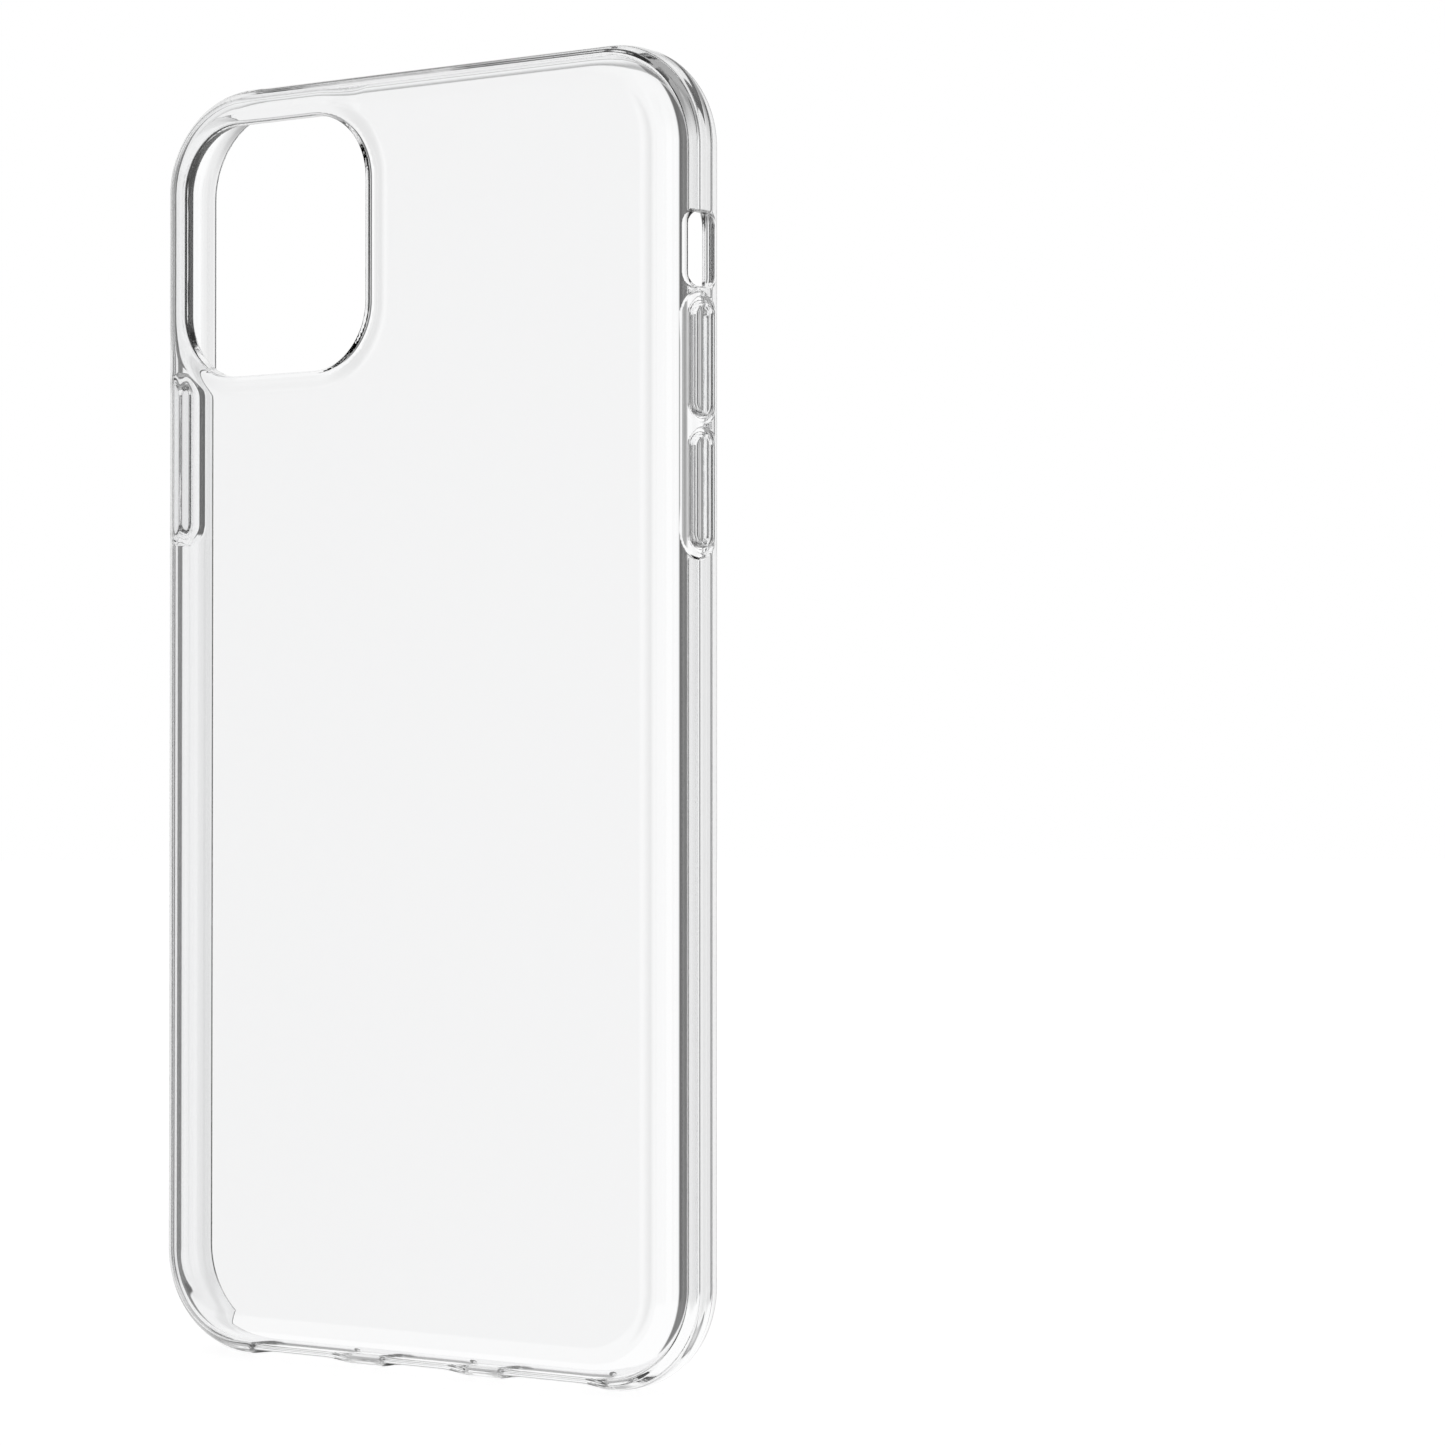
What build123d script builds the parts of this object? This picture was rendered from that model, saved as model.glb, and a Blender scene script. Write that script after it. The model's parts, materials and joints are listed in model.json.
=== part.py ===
"""A clear protective phone case, moulded in soft plastic, standing on its bottom edge.

Units are millimetres. +X is the right-hand side as seen from behind, +Y points from the back
towards the open front, and +Z is up. The origin is under the middle of the case's bounding box.
The moulding is worked out once, as one shell, and each named region is the part of that shell
inside its own zone, so that neighbouring regions meet face to face with nothing between them.
"""

from build123d import *
import math
import os

os.makedirs("parts", exist_ok=True)

# ---- The phone that the case holds ------------------------------------------------------------
phone_width = 75.7
phone_height = 150.9
phone_depth = 8.3
phone_edge_radius = 4.0

# ---- Shell ------------------------------------------------------------------------------------
side_wall = 1.25
back_wall = 1.45
corner_radius = 12.35
back_edge_radius = 6.1
front_edge_radius = 2.9
front_cover = 0.35  # from the screen to the plane that the front rounding is tangent to
mouth_inset = 2.45  # from the outer side to the edge of the front mouth
case_width = phone_width + 2 * side_wall
case_height = phone_height + 2 * side_wall
case_depth = back_wall + phone_depth + front_cover
lip_start = 8.1  # depth at which the front lip begins
lip_edge_radius = 0.3

# ---- Camera hole and its guard ----------------------------------------------------------------
hole_width = 27.8
hole_height = 30.3
hole_radius = 8.0
hole_from_left = 6.2
hole_from_top = 5.2
guard_rise = 0.6
guard_crown = 1.0  # width of the guard's level top
guard_foot = 3.4  # width of the guard where its slope ends
guard_foot_depth = 1.0  # depth of that foot below the back's outer face

# ---- Buttons ----------------------------------------------------------------------------------
button_depth = 5.6  # from the back's outer face to the middle of the buttons
window_width = 4.4
groove_width = 0.7
running_gap = 0.15
cover_rise = 0.2
cover_root = 0.85  # from the shell's outer surface in to the cover's inner face
cover_edge_radius = 0.25
web_top = 0.45
web_root = 0.75
pocket_margin = 0.5
power_from_top = 44.6
power_window_length = 20.0
volume_up_from_top = 36.6
volume_down_from_top = 51.4
volume_window_length = 14.3

# ---- Openings in the walls --------------------------------------------------------------------
switch_from_top = 24.2
switch_length = 8.4
switch_width = 4.4
switch_radius = 1.5
slot_depth_middle = 5.5
slot_width = 4.8
port_slot_length = 12.5
speaker_slot_length = 15.0
bridge_width = 5.0

# ---- Derived places ---------------------------------------------------------------------------
crest_inset = mouth_inset - lip_edge_radius
between_centres = front_edge_radius - lip_edge_radius  # of the front rounding and the lip's edge
crest_drop = between_centres - math.sqrt(between_centres**2 - (front_edge_radius - crest_inset) ** 2)
back_y = guard_rise - (guard_rise + case_depth - crest_drop) / 2
half_width = case_width / 2
middle_z = case_height / 2
hole_x = hole_from_left + hole_width / 2 - half_width
hole_z = case_height - hole_from_top - hole_height / 2
cover_width = window_width - 2 * groove_width
past = 3.0  # how far a cutter runs past the face that it cuts


def at_depth(depth):
    """The sketch plane parallel to the back, at a depth below the back's outer face."""
    return Plane.XZ.offset(-(back_y + depth))


def rounded_prism(width, height, radius, x, z, near, far):
    """A rounded rectangle seen from behind, solid from depth near to depth far."""
    with BuildPart() as prism:
        with BuildSketch(at_depth(far)):
            with Locations((x, z)):
                RectangleRounded(width, height, radius)
        extrude(amount=far - near)
    return prism.part


def case_block(inset):
    """The case's outer form with every face moved inward by inset, or outward if it is negative."""
    with BuildPart() as block:
        with BuildSketch(at_depth(case_depth - inset)):
            with Locations((0, middle_z)):
                RectangleRounded(case_width - 2 * inset, case_height - 2 * inset, corner_radius - inset)
        extrude(amount=case_depth - 2 * inset)
        fillet(block.edges().group_by(Axis.Y)[0], back_edge_radius - inset)
        fillet(block.edges().group_by(Axis.Y)[-1], front_edge_radius - inset)
    return block.part


def phone_space():
    """The space for the phone, with its rounded edges, and the mouth that it goes in by."""
    far = back_wall + phone_depth
    with BuildPart() as space:
        with BuildSketch(at_depth(far)):
            with Locations((0, middle_z)):
                RectangleRounded(phone_width, phone_height, corner_radius - side_wall)
        extrude(amount=phone_depth)
        fillet(space.edges().group_by(Axis.Y)[0], phone_edge_radius)
        fillet(space.edges().group_by(Axis.Y)[-1], phone_edge_radius)
        mouth_width = case_width - 2 * mouth_inset
        mouth_height = case_height - 2 * mouth_inset
        mouth_radius = corner_radius - mouth_inset
        add(rounded_prism(mouth_width, mouth_height, mouth_radius, 0, middle_z, far / 2, case_depth + past))
    return space.part


def guard_frustum():
    """The sloping mound that the camera hole is cut through."""
    with BuildPart() as mound:
        with BuildSketch(at_depth(guard_foot_depth)):
            with Locations((hole_x, hole_z)):
                RectangleRounded(
                    hole_width + 2 * guard_foot, hole_height + 2 * guard_foot, hole_radius + guard_foot
                )
        with BuildSketch(at_depth(-guard_rise)):
            with Locations((hole_x, hole_z)):
                RectangleRounded(
                    hole_width + 2 * guard_crown, hole_height + 2 * guard_crown, hole_radius + guard_crown
                )
        loft()
    return mound.part


def side_prism(side, length, width, from_top, reach):
    """A pill through one side wall, side -1 for the left and 1 for the right, reach deep."""
    with BuildPart() as prism:
        with BuildSketch(Plane.YZ.offset(side * (half_width - reach))):
            with Locations((back_y + button_depth, case_height - from_top)):
                SlotOverall(length, width, rotation=90)
        extrude(amount=side * (reach + past))
    return prism.part


def button_pocket(side, length, from_top):
    """The shallow pocket inside a wall, which leaves room for the phone's own keys."""
    with BuildPart() as pocket:
        add(side_prism(side, length, window_width + 2 * pocket_margin, from_top, side_wall + past))
        add(case_block(web_root), mode=Mode.INTERSECT)
    return pocket.part


def bottom_slot(length, x):
    """A slot with round ends through the bottom wall."""
    with BuildPart() as slot:
        with BuildSketch(Plane.XY.offset(-past)):
            with Locations((x, back_y + slot_depth_middle)):
                SlotOverall(length, slot_width)
        extrude(amount=past + side_wall + past)
    return slot.part


def switch_opening():
    """The opening in the right wall that reaches the phone's silent switch."""
    with BuildPart() as opening:
        with BuildSketch(Plane.YZ.offset(half_width - side_wall - past)):
            with Locations((back_y + button_depth, case_height - switch_from_top)):
                RectangleRounded(switch_width, switch_length, switch_radius)
        extrude(amount=side_wall + 2 * past)
    return opening.part


def whole_shell():
    """The moulding with all its openings and without the button covers and their webs."""
    speaker_x = port_slot_length / 2 + bridge_width + speaker_slot_length / 2
    volume_middle = (volume_up_from_top + volume_down_from_top) / 2
    volume_pocket_length = volume_down_from_top - volume_up_from_top + volume_window_length
    with BuildPart() as shell:
        add(case_block(0))
        add(guard_frustum())
        add(phone_space(), mode=Mode.SUBTRACT)
        fillet(shell.edges().group_by(Axis.Y)[-1], lip_edge_radius)
        add(
            rounded_prism(hole_width, hole_height, hole_radius, hole_x, hole_z, -past, back_wall + past),
            mode=Mode.SUBTRACT,
        )
        add(switch_opening(), mode=Mode.SUBTRACT)
        for length, x in (
            (port_slot_length, 0),
            (speaker_slot_length, -speaker_x),
            (speaker_slot_length, speaker_x),
        ):
            add(bottom_slot(length, x), mode=Mode.SUBTRACT)
        for side, length, from_top in (
            (-1, power_window_length, power_from_top),
            (1, volume_window_length, volume_up_from_top),
            (1, volume_window_length, volume_down_from_top),
        ):
            add(side_prism(side, length, window_width, from_top, side_wall + past), mode=Mode.SUBTRACT)
        for side, length, from_top in (
            (-1, power_window_length, power_from_top),
            (1, volume_pocket_length, volume_middle),
        ):
            add(button_pocket(side, length + 2 * pocket_margin, from_top), mode=Mode.SUBTRACT)
    return shell.part


def zone_box(x_low, x_high, z_low, z_high, near, far):
    """A box between two X, two Z and two depths."""
    with BuildPart() as box:
        with BuildSketch(at_depth(far)):
            with Locations(((x_low + x_high) / 2, (z_low + z_high) / 2)):
                Rectangle(x_high - x_low, z_high - z_low)
        extrude(amount=far - near)
    return box.part


def finish(piece, name):
    """Names a piece and writes it."""
    piece.part.label = name
    export_step(piece.part, f"parts/{name}.step")


# ---- Zones that share the shell out -----------------------------------------------------------
shell_solid = whole_shell()
panel_zone = rounded_prism(
    case_width - 2 * back_edge_radius,
    case_height - 2 * back_edge_radius,
    corner_radius - back_edge_radius,
    0,
    middle_z,
    -past,
    lip_start,
)
guard_zone = rounded_prism(
    hole_width + 2 * guard_foot,
    hole_height + 2 * guard_foot,
    hole_radius + guard_foot,
    hole_x,
    hole_z,
    -past,
    back_wall + past,
)
corner_x = half_width - corner_radius
corner_low_z = corner_radius
corner_high_z = case_height - corner_radius
outside_x = half_width + past
outside_low_z = -past
outside_high_z = case_height + past


# ---- Back -------------------------------------------------------------------------------------
with BuildPart() as back_panel:
    add(shell_solid)
    add(panel_zone, mode=Mode.INTERSECT)
    add(guard_zone, mode=Mode.SUBTRACT)
finish(back_panel, "back_panel")

with BuildPart() as camera_guard_ring:
    add(shell_solid)
    add(guard_zone, mode=Mode.INTERSECT)
finish(camera_guard_ring, "camera_guard_ring")


# ---- Walls and corners ------------------------------------------------------------------------
def shell_region(name, x_low, x_high, z_low, z_high):
    """The stretch of wall inside a box seen from behind, without the back panel and the guard."""
    with BuildPart() as region:
        add(shell_solid)
        add(zone_box(x_low, x_high, z_low, z_high, -past, lip_start), mode=Mode.INTERSECT)
        add(panel_zone, mode=Mode.SUBTRACT)
        add(guard_zone, mode=Mode.SUBTRACT)
    finish(region, name)


shell_region("left_side_wall", -outside_x, -corner_x, corner_low_z, corner_high_z)
shell_region("right_side_wall", corner_x, outside_x, corner_low_z, corner_high_z)
shell_region("top_wall", -corner_x, corner_x, corner_high_z, outside_high_z)
shell_region("bottom_wall", -corner_x, corner_x, outside_low_z, corner_low_z)
shell_region("top_left_corner", -outside_x, -corner_x, corner_high_z, outside_high_z)
shell_region("top_right_corner", corner_x, outside_x, corner_high_z, outside_high_z)
shell_region("bottom_left_corner", -outside_x, -corner_x, outside_low_z, corner_low_z)
shell_region("bottom_right_corner", corner_x, outside_x, outside_low_z, corner_low_z)

with BuildPart() as front_lip:
    add(shell_solid)
    add(
        zone_box(-outside_x, outside_x, outside_low_z, outside_high_z, lip_start, case_depth + past),
        mode=Mode.INTERSECT,
    )
finish(front_lip, "front_lip")


# ---- Button covers and the thin webs round them -----------------------------------------------
def button_cover(name, side, window_length, from_top):
    """A cover that the thumb presses, following the wall's outer form and standing a little proud."""
    with BuildPart() as cover:
        add(side_prism(side, window_length - 2 * groove_width, cover_width, from_top, side_wall + past))
        add(case_block(-cover_rise), mode=Mode.INTERSECT)
        add(case_block(cover_root), mode=Mode.SUBTRACT)
        outer_face = cover.faces().sort_by(Axis.X)[-1 if side > 0 else 0]
        fillet(outer_face.edges(), cover_edge_radius)
    finish(cover, name)


def button_web(name, side, window_length, from_top):
    """The thin web between a cover and its window, with room for the cover to slide."""
    hole_length = window_length - 2 * groove_width + 2 * running_gap
    with BuildPart() as web:
        add(side_prism(side, window_length, window_width, from_top, side_wall + past))
        add(case_block(web_top), mode=Mode.INTERSECT)
        add(case_block(web_root), mode=Mode.SUBTRACT)
        add(
            side_prism(side, hole_length, cover_width + 2 * running_gap, from_top, side_wall + past),
            mode=Mode.SUBTRACT,
        )
    finish(web, name)


for button, side, window_length, from_top in (
    ("power_button", -1, power_window_length, power_from_top),
    ("volume_up", 1, volume_window_length, volume_up_from_top),
    ("volume_down", 1, volume_window_length, volume_down_from_top),
):
    button_cover(f"{button}_cover", side, window_length, from_top)
    button_web(f"{button}_web", side, window_length, from_top)
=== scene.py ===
import itertools
import json
import math

import bpy
import numpy as np
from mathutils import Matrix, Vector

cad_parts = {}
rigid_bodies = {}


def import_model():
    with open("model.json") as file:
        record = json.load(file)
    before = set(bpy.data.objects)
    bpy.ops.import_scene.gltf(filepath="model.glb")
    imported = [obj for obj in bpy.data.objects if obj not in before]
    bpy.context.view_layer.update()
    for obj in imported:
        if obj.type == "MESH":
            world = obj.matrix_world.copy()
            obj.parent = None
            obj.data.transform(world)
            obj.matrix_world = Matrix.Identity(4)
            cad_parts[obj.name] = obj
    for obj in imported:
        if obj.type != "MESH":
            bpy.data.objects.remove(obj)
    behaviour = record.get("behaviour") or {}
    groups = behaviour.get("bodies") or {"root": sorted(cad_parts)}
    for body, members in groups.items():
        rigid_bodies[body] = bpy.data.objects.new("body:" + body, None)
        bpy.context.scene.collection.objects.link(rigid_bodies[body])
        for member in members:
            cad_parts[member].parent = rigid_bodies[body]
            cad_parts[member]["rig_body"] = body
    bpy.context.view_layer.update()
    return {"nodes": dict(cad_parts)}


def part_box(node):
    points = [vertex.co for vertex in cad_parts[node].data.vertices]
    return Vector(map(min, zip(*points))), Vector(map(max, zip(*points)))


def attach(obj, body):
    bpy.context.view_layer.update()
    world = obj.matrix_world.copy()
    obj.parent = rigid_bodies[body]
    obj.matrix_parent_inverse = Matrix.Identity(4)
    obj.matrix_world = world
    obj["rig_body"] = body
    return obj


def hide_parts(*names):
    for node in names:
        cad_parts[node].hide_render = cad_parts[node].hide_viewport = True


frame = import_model()

MM = 0.001

# ---- The case's form, in millimetres ----------------------------------------------------------
# The overall size and the places of the parts come from the frame. Depth is measured forwards (+Y)
# from the flat back.
back_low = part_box("back_panel")[0]
lip_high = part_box("front_lip")[1]
guard_low, guard_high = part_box("camera_guard_ring")

half_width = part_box("right_side_wall")[1].x / MM
case_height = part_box("top_wall")[1].z / MM
middle_z = case_height / 2
back_y = back_low.y / MM

back_wall = 1.11
side_wall = 1.3
phone_depth = 8.29
cavity_back_radius = 3.0
cavity_front_radius = 4.04
corner_radius = 12.35
back_edge_radius = 5.93
front_edge_radius = 2.95
mouth_inset = 2.21
lip_crest_radius = 0.47
lip_inner_radius = 0.53
# The sharp edge that the lip's crest is rounded from stands this much above the CAD model's lip.
crest_allowance = 0.08
case_depth = (lip_high.y - back_low.y) / MM + crest_allowance

guard_rise = (back_low.y - guard_low.y) / MM
guard_crown = 1.0
guard_foot = 3.4
guard_slope = 1.5
guard_top_radius = 0.5
guard_foot_radius = 0.55
hole_x = (guard_low.x + guard_high.x) / 2 / MM
hole_z = (guard_low.z + guard_high.z) / 2 / MM
hole_width = (guard_high.x - guard_low.x) / MM - 2 * guard_foot
hole_height = (guard_high.z - guard_low.z) / MM - 2 * guard_foot
hole_radius = 8.0
hole_edge_radius = 0.4

window_width = 4.4
groove_width = 0.7
groove_corner_radius = 0.12
running_gap = 0.15
gap_edge_radius = 0.08
cover_rise = 0.2
cover_root = 0.85
cover_top_radius = 0.35
cover_root_radius = 0.15
web_top = 0.45
web_root = 0.75
pocket_margin = 0.5
pocket_corner_radius = 0.15
pocket_edge_radius = 0.2

switch_depth = 5.6
switch_z = case_height - 24.2
switch_length = 8.4
switch_width = 4.4
switch_radius = 1.5
slot_depth = 5.5
slot_width = 4.8
port_slot_length = 12.5
speaker_slot_length = 15.0
speaker_slot_x = 18.75
SLOTS = (
    (port_slot_length, 0),
    (speaker_slot_length, -speaker_slot_x),
    (speaker_slot_length, speaker_slot_x),
)
opening_edge_radius = 0.35

# What is cut into a wall reaches this far in from the outside.
cut_reach = 8
# Full round ends are this much short of half the width.
hair = 1e-6


# ---- Distance fields: negative inside, in millimetres -------------------------------------------
def rounded_rectangle(u, v, width, height, radius):
    """Distance from a rounded rectangle centred on the origin."""
    over_u = np.abs(u) - (width / 2 - radius)
    over_v = np.abs(v) - (height / 2 - radius)
    outside = np.hypot(np.maximum(over_u, 0), np.maximum(over_v, 0))
    return np.minimum(np.maximum(over_u, over_v), 0) + outside - radius


def both(a, b, radius):
    """Where two fields overlap, with the edge between them rounded."""
    corner = np.hypot(np.maximum(a + radius, 0), np.maximum(b + radius, 0))
    return np.minimum(-radius, np.maximum(a, b)) + corner


def either(a, b, radius):
    """Two fields joined, with the crease between them filled by a fillet."""
    crease = np.hypot(np.maximum(radius - a, 0), np.maximum(radius - b, 0))
    return np.maximum(radius, np.minimum(a, b)) - crease


def button_box(name):
    """The side that a button is on (-1 or 1), its window's middle in Y and Z, and its length."""
    low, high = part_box(name + "_web")
    side = 1 if low.x > 0 else -1
    return side, (low.y + high.y) / 2 / MM, (low.z + high.z) / 2 / MM, (high.z - low.z) / MM


buttons = {name: button_box(name) for name in ("power_button", "volume_up", "volume_down")}


def outer_form(x, y, z):
    """The outside of the case without its guard, with the distances that it is made from."""
    side = rounded_rectangle(x, z - middle_z, 2 * half_width, case_height, corner_radius)
    depth = y - back_y
    form = both(side, -depth, back_edge_radius)
    return side, depth, both(form, depth - case_depth, front_edge_radius)


def guard_form(x, depth, z):
    """The camera hole's outline, and the sloping mound round it."""
    outline = rounded_rectangle(x - hole_x, z - hole_z, hole_width, hole_height, hole_radius)
    slope = (outline - guard_crown - (depth + guard_rise) * guard_slope) / math.hypot(1, guard_slope)
    mound = both(slope, -depth - guard_rise, guard_top_radius)
    return outline, np.maximum(mound, depth - back_wall)


def phone_space(side, depth):
    """The cavity that the phone fills, and the mouth in front of it."""
    cavity = both(side + side_wall, back_wall - depth, cavity_back_radius)
    cavity = both(cavity, depth - back_wall - phone_depth, cavity_front_radius)
    mouth = np.maximum(side + mouth_inset, case_depth / 2 - depth)
    return either(cavity, mouth, lip_inner_radius)


def pill(y, z, button, grow):
    """Distance from a button's window, grown all round, seen from the side."""
    side, middle_y, middle, length = button
    width = window_width + 2 * grow
    return rounded_rectangle(y - middle_y, z - middle, width, length + 2 * grow, width / 2 - hair)


def near_side(x, side):
    """Keeps a cut to one side wall."""
    return half_width - cut_reach - side * x


def shell_field(x, y, z):
    """The whole moulding: the shell with its guard, openings, pockets, webs and grooves."""
    side, depth, outer = outer_form(x, y, z)
    outline, mound = guard_form(x, depth, z)
    space = phone_space(side, depth)
    body = either(outer, mound, guard_foot_radius)
    # Only the lip's crest is rounded. The thin corner at the back keeps its full thickness.
    at_front = depth > case_depth / 2
    solid = np.where(at_front, both(body, -space, lip_crest_radius), np.maximum(body, -space))

    hole = np.maximum(outline, depth - case_depth / 2)
    solid = both(solid, -hole, hole_edge_radius)

    switch_y = depth - switch_depth
    opening = rounded_rectangle(switch_y, z - switch_z, switch_width, switch_length, switch_radius)
    opening = np.maximum(opening, near_side(x, 1))
    solid = both(solid, -opening, opening_edge_radius)

    for length, middle_x in SLOTS:
        slot_y = depth - slot_depth
        slot = rounded_rectangle(x - middle_x, slot_y, length, slot_width, slot_width / 2 - hair)
        slot = np.maximum(slot, z - cut_reach)
        solid = both(solid, -slot, opening_edge_radius)

    # The two volume buttons share one pocket.
    up, down = buttons["volume_up"], buttons["volume_down"]
    both_volume = (1, up[1], (up[2] + down[2]) / 2, up[2] - down[2] + up[3])
    for button in (buttons["power_button"], both_volume):
        pocket = both(pill(y, z, button, pocket_margin), outer + web_root, pocket_corner_radius)
        pocket = np.maximum(pocket, near_side(x, button[0]))
        solid = both(solid, -pocket, pocket_edge_radius)
    for button in buttons.values():
        groove = both(pill(y, z, button, 0), -(outer + web_top), groove_corner_radius)
        groove = np.maximum(groove, near_side(x, button[0]))
        solid = both(solid, -groove, pocket_edge_radius)
        through = pill(y, z, button, running_gap - groove_width)
        through = np.maximum(through, near_side(x, button[0]))
        solid = both(solid, -through, gap_edge_radius)
    return solid


def cover_field(button):
    """One button cover: it follows the wall's outer form and stands a little proud of it."""

    def field(x, y, z):
        outer = outer_form(x, y, z)[2]
        cover = both(pill(y, z, button, -groove_width), outer - cover_rise, cover_top_radius)
        cover = both(cover, -(outer + cover_root), cover_root_radius)
        return np.maximum(cover, near_side(x, button[0]))

    return field


# ---- Meshing a field --------------------------------------------------------------------------
SMALLEST_STEP = 0.05
SLOPE_STEP = 0.004
SETTLE_ROUNDS = 4
SETTLE_REACH = 0.12
LEAST_SLOPE = 0.05
TINY = 1e-9


def graded(low, high, coarse, bands):
    """Grid lines from low to high, coarse apart except in bands (from, to, step)."""
    places = []
    at = low
    while at < high:
        places.append(at)
        inside = [step for start, end, step in bands if start <= at < end]
        ahead = [max(start - at, SMALLEST_STEP) for start, end, step in bands if start > at]
        at += min((inside or ahead) + [coarse])
    places.append(high)
    return np.array(places)


def crossing_cells(inside):
    """Cells whose eight corners aren't all on one side, as an array of bools."""
    count = np.zeros([size - 1 for size in inside.shape], np.int8)
    for i, j, k in itertools.product((0, 1), repeat=3):
        count += inside[i : i - 1 or None, j : j - 1 or None, k : k - 1 or None]
    return (count > 0) & (count < 8)


def cell_points(values, lines, cells):
    """The mean of the places where the surface cuts each cell's edges."""
    total = np.zeros((len(cells), 3))
    hits = np.zeros(len(cells))
    for axis in range(3):
        others = [a for a in range(3) if a != axis]
        for offsets in itertools.product((0, 1), repeat=2):
            near = cells.copy()
            near[:, others] += offsets
            far = near.copy()
            far[:, axis] += 1
            a = values[tuple(near.T)]
            b = values[tuple(far.T)]
            cut = (a < 0) != (b < 0)
            share = a[cut] / (a[cut] - b[cut])
            point = np.stack([lines[i][near[cut, i]] for i in range(3)], 1)
            point[:, axis] += share * (lines[axis][far[cut, axis]] - lines[axis][near[cut, axis]])
            total[cut] += point
            hits[cut] += 1
    return total / hits[:, None]


def edge_quads(inside, number):
    """One quad across every inner grid edge that the surface cuts, from the numbers of its cells."""
    faces = []
    for axis in range(3):
        one, two = (axis + 1) % 3, (axis + 2) % 3
        low = [slice(None)] * 3
        high = [slice(None)] * 3
        low[axis] = slice(None, -1)
        high[axis] = slice(1, None)
        place = np.argwhere(inside[tuple(low)] != inside[tuple(high)])
        fits = (place[:, one] > 0) & (place[:, two] > 0)
        fits &= (place[:, one] < inside.shape[one] - 1) & (place[:, two] < inside.shape[two] - 1)
        place = place[fits]
        ring = []
        for step_one, step_two in ((-1, -1), (0, -1), (0, 0), (-1, 0)):
            cell = place.copy()
            cell[:, one] += step_one
            cell[:, two] += step_two
            ring.append(number[tuple(cell.T)])
        quads = np.stack(ring, 1)
        flip = ~inside[tuple(place.T)]
        quads[flip] = quads[flip][:, ::-1]
        faces.append(quads)
    return np.concatenate(faces)


def surface_net(field, lines):
    """A mesh of a field's surface, with one vertex in every cell that the surface crosses."""
    gx, gy, gz = lines
    values = field(gx[:, None, None], gy[None, :, None], gz[None, None, :]).astype(np.float32)
    inside = values < 0
    active = crossing_cells(inside)
    cells = np.argwhere(active)
    number = np.full(active.shape, -1, np.int64)
    number[active] = np.arange(len(cells))
    return cell_points(values, lines, cells), edge_quads(inside, number)


def gradient(field, points):
    """How fast the field grows along X, Y and Z."""
    x, y, z = points.T
    step = SLOPE_STEP
    growth = [
        field(x + step, y, z) - field(x - step, y, z),
        field(x, y + step, z) - field(x, y - step, z),
        field(x, y, z + step) - field(x, y, z - step),
    ]
    return np.stack(growth, 1) / (2 * step)


def settle(field, points):
    """Moves points onto the surface."""
    for _ in range(SETTLE_ROUNDS):
        slope = gradient(field, points)
        value = field(*points.T)
        size = np.maximum((slope**2).sum(1), LEAST_SLOPE)
        move = slope * (value / size)[:, None]
        length = np.maximum(np.linalg.norm(move, axis=1), TINY)
        points = points - move * np.minimum(1, SETTLE_REACH / length)[:, None]
    return points


# Distances between grid lines, from the finest places to the flat ones.
COVER_X_STEP = 0.11
COVER_Y_STEP = 0.12
WALL_STEP = 0.16
DEPTH_STEP = 0.17
END_WALL_STEP = 0.2
CORNER_STEP = 0.22
END_CORNER_STEP = 0.24
SWITCH_STEP = 0.25
HOLE_STEP = 0.3
HOLE_CORNER_STEP = 0.45
HOLE_SIDE_STEP = 0.5
COVER_LONG_STEP = 0.8
FLAT_STEP = 1.5


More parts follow.
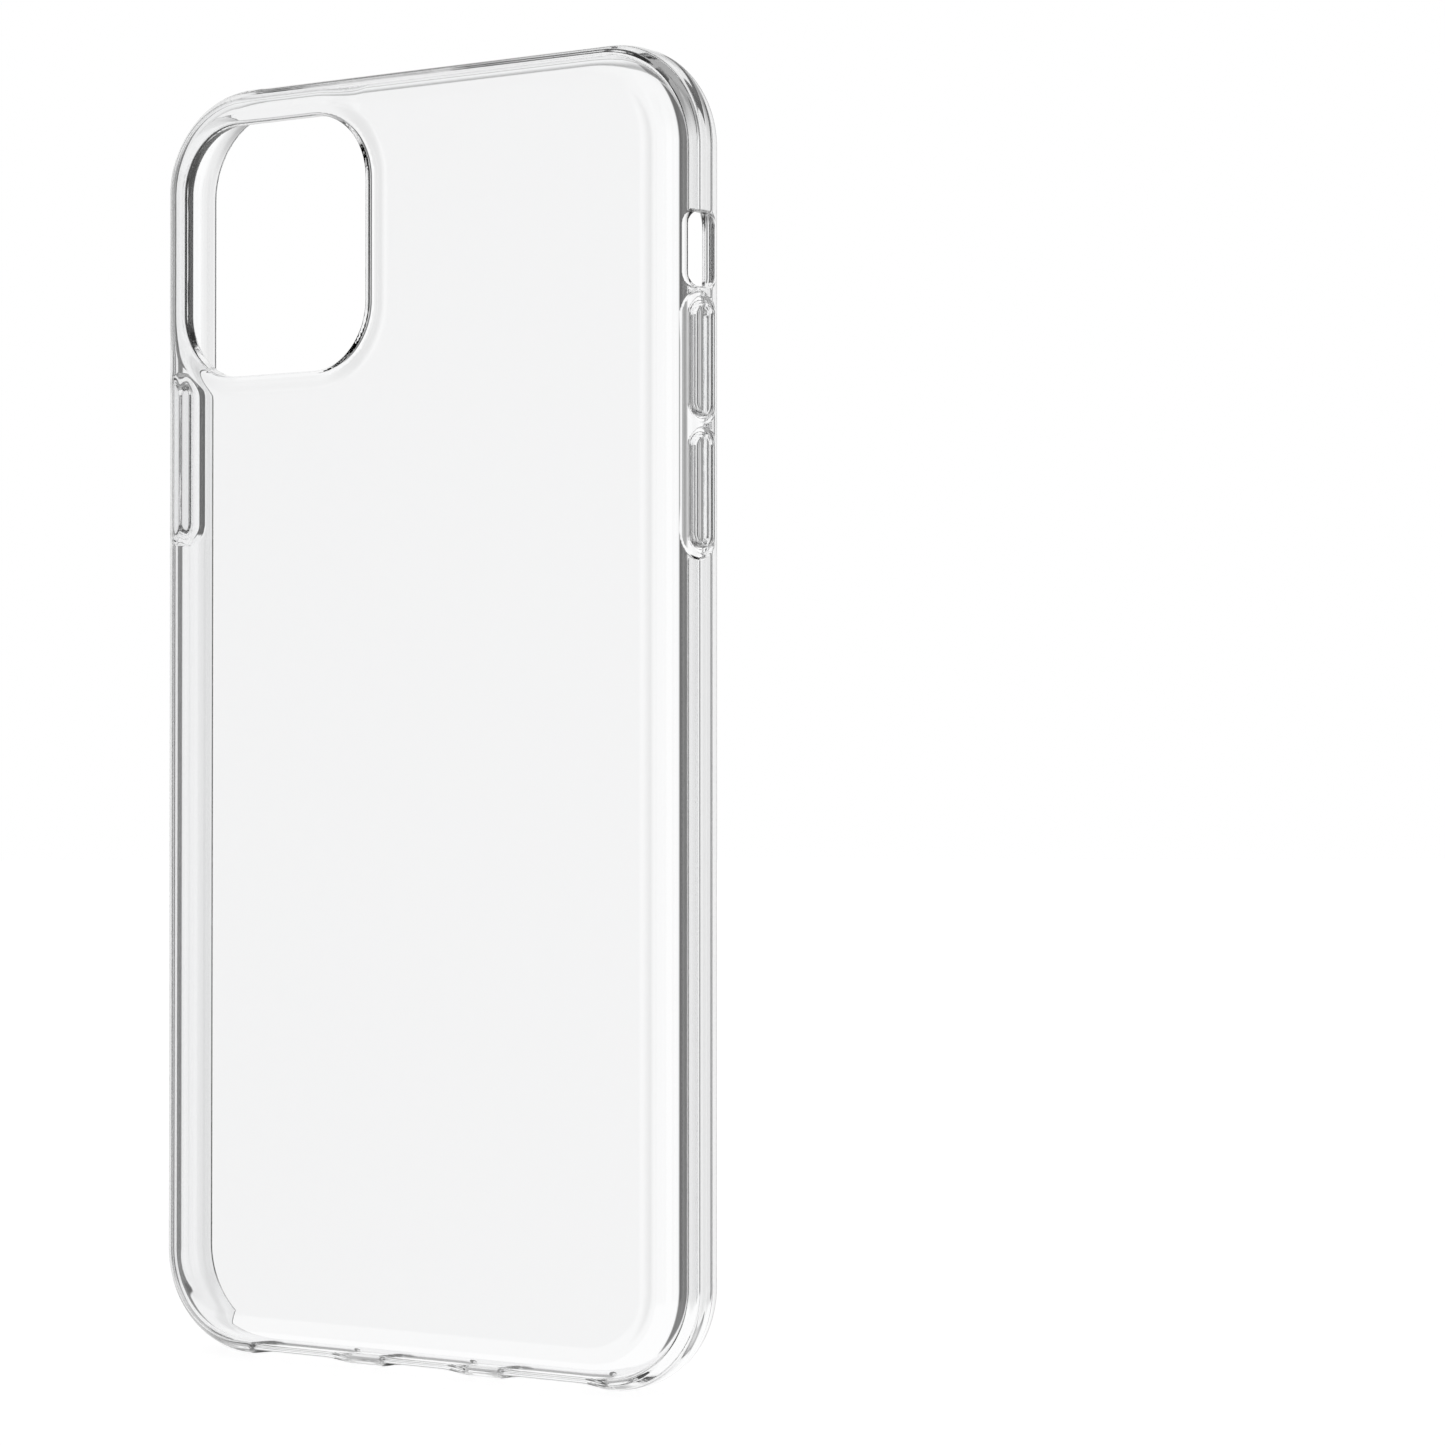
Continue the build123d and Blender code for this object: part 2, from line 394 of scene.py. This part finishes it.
def shell_lines():
    """Grid lines that are close together only where the shell has detail."""
    wall = 3.2
    end_wall = 3.4
    corner = 9
    beyond = 1
    # How far a band reaches over an edge, onto the flat and into the opening.
    onto_flat = 4
    into_hole = 1.2
    past_tip = 0.6
    round_tip = 2.6
    round_button = 3.2
    round_switch = 2
    x_bands = []
    for side in (-1, 1):
        rim = (side * (half_width - wall), side * (half_width + beyond))
        bend = (side * (half_width - corner), side * (half_width - wall))
        x_bands += [(*sorted(rim), WALL_STEP), (*sorted(bend), CORNER_STEP)]
    right_of_hole = hole_x + hole_width / 2
    x_bands += [(right_of_hole - into_hole, right_of_hole + onto_flat, HOLE_STEP)]
    x_bands += [(right_of_hole - hole_radius, right_of_hole - into_hole, HOLE_SIDE_STEP)]
    for length, middle_x in SLOTS:
        for end in (-1, 1):
            tip = middle_x + end * length / 2
            reach = sorted((tip + past_tip * end, tip - round_tip * end))
            x_bands.append((*reach, HOLE_STEP))

    z_bands = [
        (-beyond, end_wall, END_WALL_STEP),
        (end_wall, corner_radius, END_CORNER_STEP),
        (case_height - corner_radius, case_height - end_wall, END_CORNER_STEP),
        (case_height - end_wall, case_height + beyond, END_WALL_STEP),
    ]
    foot_of_hole = hole_z - hole_height / 2
    z_bands += [(foot_of_hole - onto_flat, foot_of_hole + into_hole, HOLE_STEP)]
    z_bands += [(foot_of_hole + into_hole, foot_of_hole + hole_radius, HOLE_CORNER_STEP)]
    switch_bottom = switch_z - switch_length / 2
    switch_top = switch_z + switch_length / 2
    z_bands += [(switch_bottom - beyond, switch_bottom + round_switch, SWITCH_STEP)]
    z_bands += [(switch_top - round_switch, switch_top + beyond, SWITCH_STEP)]
    for side, middle_y, middle, length in buttons.values():
        bottom = middle - length / 2
        top = middle + length / 2
        z_bands += [(bottom - beyond, bottom + round_button, END_WALL_STEP)]
        z_bands += [(top - round_button, top + beyond, END_WALL_STEP)]

    margin = 0.6
    y_range = (back_y - guard_rise - margin, back_y + case_depth + margin)
    return [
        graded(-half_width - margin, half_width + margin, FLAT_STEP, x_bands),
        graded(*y_range, FLAT_STEP, [(*y_range, DEPTH_STEP)]),
        graded(-margin, case_height + margin, FLAT_STEP, z_bands),
    ]


def cover_lines(button):
    """Grid lines for a button cover, close together at its round ends."""
    side, middle_y, middle, length = button
    inwards = 2.2
    outwards = 0.5
    round_end = 3
    x_low, x_high = sorted((side * (half_width - inwards), side * (half_width + outwards)))
    bottom = middle - length / 2
    top = middle + length / 2
    z_bands = [(bottom, bottom + round_end, WALL_STEP), (top - round_end, top, WALL_STEP)]
    return [
        np.arange(x_low, x_high, COVER_X_STEP),
        np.arange(middle_y - window_width / 2, middle_y + window_width / 2, COVER_Y_STEP),
        graded(bottom, top, COVER_LONG_STEP, z_bands),
    ]


def thin_out(piece, keep):
    """Joins small faces until only a share of them is left."""
    full = piece.data
    thin = piece.modifiers.new("thin", "DECIMATE")
    thin.ratio = keep
    graph = bpy.context.evaluated_depsgraph_get()
    piece_thinned = bpy.data.meshes.new_from_object(piece.evaluated_get(graph))
    piece.modifiers.clear()
    piece.data = piece_thinned
    bpy.data.meshes.remove(full)
    piece_thinned.name = piece.name


def moulded(name, field, lines, keep):
    """A smooth closed mesh of a field, with the field's own directions as its normals."""
    points, quads = surface_net(field, lines)
    points = settle(field, points)
    mesh = bpy.data.meshes.new(name)
    mesh.from_pydata((points * MM).tolist(), [], quads.tolist())
    mesh.update()
    piece = bpy.data.objects.new(name, mesh)
    bpy.context.scene.collection.objects.link(piece)
    thin_out(piece, keep)
    mesh = piece.data
    places = np.empty(len(mesh.vertices) * 3)
    mesh.vertices.foreach_get("co", places)
    places = settle(field, places.reshape(-1, 3) / MM)
    mesh.vertices.foreach_set("co", (places * MM).ravel())
    mesh.update()
    for polygon in mesh.polygons:
        polygon.use_smooth = True
    slope = gradient(field, places)
    slope /= np.maximum(np.linalg.norm(slope, axis=1), TINY)[:, None]
    mesh.normals_split_custom_set_from_vertices(slope.tolist())
    return piece


# ---- Pieces -----------------------------------------------------------------------------------
SHELL_KEEP = 0.42
COVER_KEEP = 0.6

shell_nodes = [node for node, piece in frame["nodes"].items() if piece["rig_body"] == "shell"]
shell = moulded("case_shell", shell_field, shell_lines(), SHELL_KEEP)
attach(shell, "shell")
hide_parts(*shell_nodes)

covers = []
for name, button in buttons.items():
    cover = moulded(name + "_skin", cover_field(button), cover_lines(button), COVER_KEEP)
    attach(cover, name)
    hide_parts(name + "_cover")
    covers.append(cover)


# ---- Materials --------------------------------------------------------------------------------
PLASTIC_TINT = (0.985, 0.987, 0.99, 1)
PLASTIC_IOR = 1.5
POLISH_SCALE = 60
RIPPLE_DEPTH = 0.00001
SHADOW_TINT = (0.95, 0.95, 0.95, 1)


def clear_plastic(name, roughness, ripple_size):
    """Clear soft plastic: a smooth glass-like skin with the ripple and polish of a moulding."""
    material = bpy.data.materials.new(name)
    material.use_nodes = True
    nodes = material.node_tree.nodes
    links = material.node_tree.links
    nodes.clear()
    output = nodes.new("ShaderNodeOutputMaterial")
    plastic = nodes.new("ShaderNodeBsdfPrincipled")
    plastic.inputs["Base Color"].default_value = PLASTIC_TINT
    plastic.inputs["IOR"].default_value = PLASTIC_IOR
    plastic.inputs["Transmission Weight"].default_value = 1.0
    places = nodes.new("ShaderNodeTexCoord")

    # The polish varies a little over the surface.
    polish = nodes.new("ShaderNodeTexNoise")
    polish.inputs["Scale"].default_value = POLISH_SCALE
    polish.inputs["Detail"].default_value = 3
    polish_range = nodes.new("ShaderNodeMapRange")
    polish_range.inputs["To Min"].default_value = roughness * 0.5
    polish_range.inputs["To Max"].default_value = roughness * 1.5
    links.new(places.outputs["Object"], polish.inputs["Vector"])
    links.new(polish.outputs["Fac"], polish_range.inputs["Value"])
    links.new(polish_range.outputs["Result"], plastic.inputs["Roughness"])

    # The skin has a faint ripple.
    ripple = nodes.new("ShaderNodeTexNoise")
    ripple.inputs["Scale"].default_value = 1 / ripple_size
    ripple.inputs["Detail"].default_value = 1
    bump = nodes.new("ShaderNodeBump")
    bump.inputs["Strength"].default_value = 1
    bump.inputs["Distance"].default_value = RIPPLE_DEPTH
    links.new(places.outputs["Object"], ripple.inputs["Vector"])
    links.new(ripple.outputs["Fac"], bump.inputs["Height"])
    links.new(bump.outputs["Normal"], plastic.inputs["Normal"])

    # Light passes through to the floor, so the case casts only a pale shadow.
    lamp_path = nodes.new("ShaderNodeLightPath")
    window = nodes.new("ShaderNodeBsdfTransparent")
    window.inputs["Color"].default_value = SHADOW_TINT
    choice = nodes.new("ShaderNodeMixShader")
    links.new(lamp_path.outputs["Is Shadow Ray"], choice.inputs["Fac"])
    links.new(plastic.outputs["BSDF"], choice.inputs[1])
    links.new(window.outputs["BSDF"], choice.inputs[2])
    links.new(choice.outputs["Shader"], output.inputs["Surface"])
    return material


def give(piece, material):
    """Makes a material the piece's only one."""
    piece.data.materials.clear()
    piece.data.materials.append(material)


give(shell, clear_plastic("clear_soft_plastic", 0.02, 0.012))
button_plastic = clear_plastic("clear_button_plastic", 0.03, 0.008)
for cover in covers:
    give(cover, button_plastic)


# ---- Floor --------------------------------------------------------------------------------------
FLOOR_GLOW = 0.71
FLOOR_RADIUS = 3.0
FLOOR_SIDES = 96


def floor_material():
    """A pale floor, lit from below as well, as on a shooting table."""
    material = bpy.data.materials.new("pale_floor")
    material.use_nodes = True
    surface = material.node_tree.nodes["Principled BSDF"]
    surface.inputs["Base Color"].default_value = (0.9, 0.9, 0.9, 1)
    surface.inputs["Roughness"].default_value = 0.9
    surface.inputs["Specular IOR Level"].default_value = 0.0
    surface.inputs["Emission Color"].default_value = (1, 1, 1, 1)
    surface.inputs["Emission Strength"].default_value = FLOOR_GLOW
    return material


turns = [2 * math.pi * i / FLOOR_SIDES for i in range(FLOOR_SIDES)]
rim = [(FLOOR_RADIUS * math.cos(turn), FLOOR_RADIUS * math.sin(turn), 0) for turn in turns]
floor_mesh = bpy.data.meshes.new("floor")
floor_mesh.from_pydata(rim, [], [tuple(range(FLOOR_SIDES))])
floor = bpy.data.objects.new("floor", floor_mesh)
bpy.context.scene.collection.objects.link(floor)
give(floor, floor_material())
# The clear back would show the floor's far edge as a line, so the floor isn't in its reflections.
floor.visible_glossy = False
floor.visible_transmission = False

# ---- Light --------------------------------------------------------------------------------------
# The studio is a white room. Flags and grey screens stand beside the case and darken its edges. Each
# row gives where its middle is, in degrees from in front of the case (+Y) round by the left (-X),
# half its width, how soft its edges are, and how much light it leaves.
WIDE_FLAG = (122, 35, 9, 0.02)
RIGHT_SCREEN = (-14, 18, 8, 0.82)
LEFT_SCREEN = (62, 12, 7, 0.86)
NARROW_FLAGS = [(middle, 7, 2, 0.15) for middle in (20, 206, 250, 290, 334)]
FLAGS = [WIDE_FLAG, RIGHT_SCREEN, LEFT_SCREEN, *NARROW_FLAGS]

# Heights above the horizon, in degrees: where the flags end, and where they are at full strength.
FLAG_TOP = (52, 40)
FLAG_BOTTOM = (-19, -13)
# The ceiling starts to dim and is dimmest at these heights, where it gives this share of the light.
CEILING_START = 11
CEILING_FULL = 35
CEILING_LIGHT = 0.42


def mapped(tree, value, source, target, kind="SMOOTHSTEP"):
    """A value moved from one range to another."""
    change = tree.nodes.new("ShaderNodeMapRange")
    change.interpolation_type = kind
    change.inputs["From Min"].default_value = source[0]
    change.inputs["From Max"].default_value = source[1]
    change.inputs["To Min"].default_value = target[0]
    change.inputs["To Max"].default_value = target[1]
    tree.links.new(value, change.inputs["Value"])
    return change.outputs["Result"]


def multiplied(tree, a, b):
    """The product of two values."""
    product = tree.nodes.new("ShaderNodeMath")
    product.operation = "MULTIPLY"
    tree.links.new(a, product.inputs[0])
    tree.links.new(b, product.inputs[1])
    return product.outputs["Value"]


def sines(start, end):
    """The heights of two directions, given in degrees above the horizon."""
    return math.sin(math.radians(start)), math.sin(math.radians(end))


def flag_shade(tree, level, flag_height, flag):
    """How much light a flag leaves in each direction."""
    middle, half_angle, softness, left_over = flag
    facing = tree.nodes.new("ShaderNodeVectorMath")
    facing.operation = "DOT_PRODUCT"
    angle = math.radians(middle)
    facing.inputs[1].default_value = (-math.sin(angle), math.cos(angle), 0)
    tree.links.new(level, facing.inputs[0])
    edge = math.cos(math.radians(half_angle + softness))
    full = math.cos(math.radians(half_angle))
    inside = mapped(tree, facing.outputs["Value"], (edge, full), (0, 1))
    return mapped(tree, multiplied(tree, inside, flag_height), (0, 1), (1, left_over), "LINEAR")


def room_light(tree):
    """The white room with its dim ceiling and its flags, as brightness by direction."""
    towards = tree.nodes.new("ShaderNodeTexCoord").outputs["Generated"]
    apart = tree.nodes.new("ShaderNodeSeparateXYZ")
    tree.links.new(towards, apart.inputs["Vector"])
    height = apart.outputs["Z"]
    flat = tree.nodes.new("ShaderNodeCombineXYZ")
    tree.links.new(apart.outputs["X"], flat.inputs["X"])
    tree.links.new(apart.outputs["Y"], flat.inputs["Y"])
    level = tree.nodes.new("ShaderNodeVectorMath")
    level.operation = "NORMALIZE"
    tree.links.new(flat.outputs["Vector"], level.inputs[0])

    under_top = mapped(tree, height, sines(*FLAG_TOP), (0, 1))
    over_bottom = mapped(tree, height, sines(*FLAG_BOTTOM), (0, 1))
    flag_height = multiplied(tree, under_top, over_bottom)
    brightness = mapped(tree, height, sines(CEILING_START, CEILING_FULL), (1, CEILING_LIGHT))
    for flag in FLAGS:
        shade = flag_shade(tree, level.outputs["Vector"], flag_height, flag)
        brightness = multiplied(tree, brightness, shade)
    return brightness


def studio_world():
    """White to the camera. What the case reflects and bends is the room with its flags."""
    studio = bpy.data.worlds.new("studio")
    studio.use_nodes = True
    tree = studio.node_tree
    room = tree.nodes["Background"]
    tree.links.new(room_light(tree), room.inputs["Color"])
    backdrop = tree.nodes.new("ShaderNodeBackground")
    backdrop.inputs["Color"].default_value = (1, 1, 1, 1)
    path = tree.nodes.new("ShaderNodeLightPath")
    seen = tree.nodes.new("ShaderNodeMixShader")
    tree.links.new(path.outputs["Is Camera Ray"], seen.inputs["Fac"])
    tree.links.new(room.outputs["Background"], seen.inputs[1])
    tree.links.new(backdrop.outputs["Background"], seen.inputs[2])
    tree.links.new(seen.outputs["Shader"], tree.nodes["World Output"].inputs["Surface"])
    return studio


bpy.context.scene.world = studio_world()

# ---- Camera -------------------------------------------------------------------------------------
# It stands behind the case and to its right, in metres, and looks slightly up, in degrees.
CAMERA_LENS = 101.75
CAMERA_SENSOR = 36
CAMERA_RIGHT = 0.2979
CAMERA_BEHIND = 0.3734
CAMERA_BELOW_MIDDLE = 0.00694
CAMERA_LOOKS_UP = 0.768
CAMERA_TURN = 34.08

camera_data = bpy.data.cameras.new("camera")
camera_data.lens = CAMERA_LENS
camera_data.sensor_width = CAMERA_SENSOR
camera_data.clip_start = 0.01
camera_data.clip_end = 20
camera = bpy.data.objects.new("camera", camera_data)
camera.location = (CAMERA_RIGHT, back_y * MM - CAMERA_BEHIND, middle_z * MM - CAMERA_BELOW_MIDDLE)
camera.rotation_euler = (math.radians(90 + CAMERA_LOOKS_UP), 0, math.radians(CAMERA_TURN))
bpy.context.scene.collection.objects.link(camera)
bpy.context.scene.camera = camera

scene = bpy.context.scene
scene.view_settings.view_transform = "Standard"
scene.cycles.max_bounces = 24
scene.cycles.transmission_bounces = 24
scene.cycles.glossy_bounces = 12
scene.cycles.transparent_max_bounces = 24
scene.cycles.use_denoising = True
